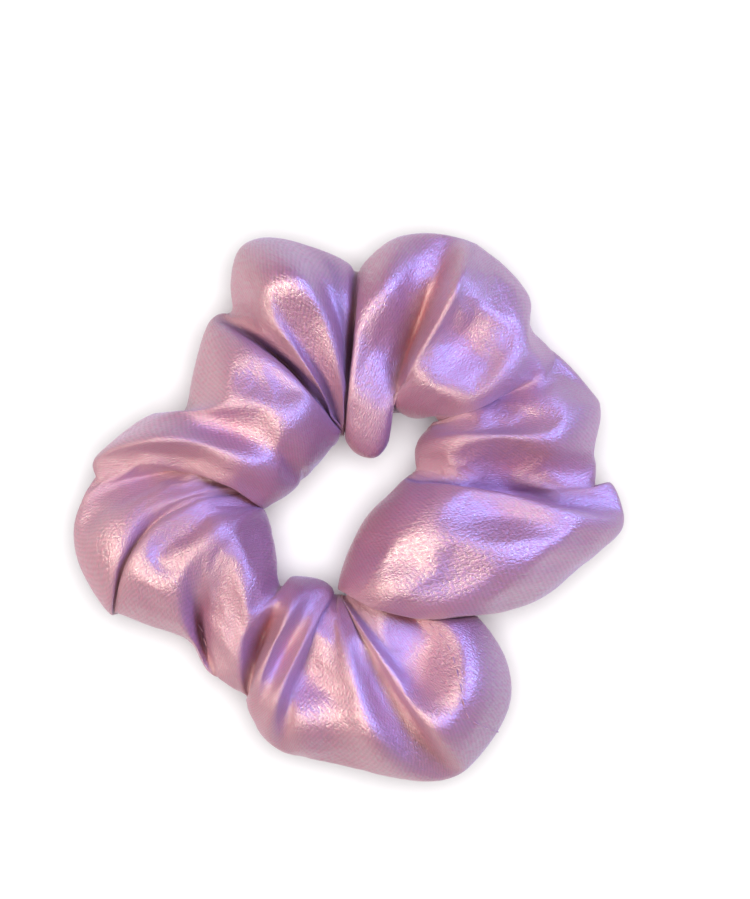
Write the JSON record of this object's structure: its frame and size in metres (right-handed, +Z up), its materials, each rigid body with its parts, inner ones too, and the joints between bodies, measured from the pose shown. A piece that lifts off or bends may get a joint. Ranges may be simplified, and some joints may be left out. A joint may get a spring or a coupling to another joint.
{
  "type": "satin scrunchie",
  "caption": "Gathered satin hair scrunchie: a closed cloth tube sewn round a stretchy braided elastic loop, for holding a ponytail or bun.",
  "frame": {"origin": "on the table plane, under the centre of the ring lying flat", "axes": "+Z up through the opening, +X and +Y in the plane of the ring; the stretch runs along +X"},
  "size_m": [0.1153, 0.1151, 0.0285],
  "materials": {
    "satin": "satin",
    "thread": "matte",
    "braid": "matte",
    "rubber": "matte",
    "join_thread": "matte"
  },
  "bodies": {
    "left": {"cover_left": "satin", "seam_thread_left": "thread", "elastic_braid": "braid", "elastic_rubber_cores": "rubber", "elastic_join_thread": "join_thread"},
    "right": {"cover_right": "satin", "seam_thread_right": "thread", "closing_seam_thread": "thread"}
  },
  "joints": [
    {"name": "stretch", "type": "slide", "parent": "left", "child": "right", "axis": [1, 0, 0], "range_m": [0, 0.08], "stiffness_N_per_m": 60, "deforming": ["elastic_braid", "elastic_rubber_cores"]}
  ]
}
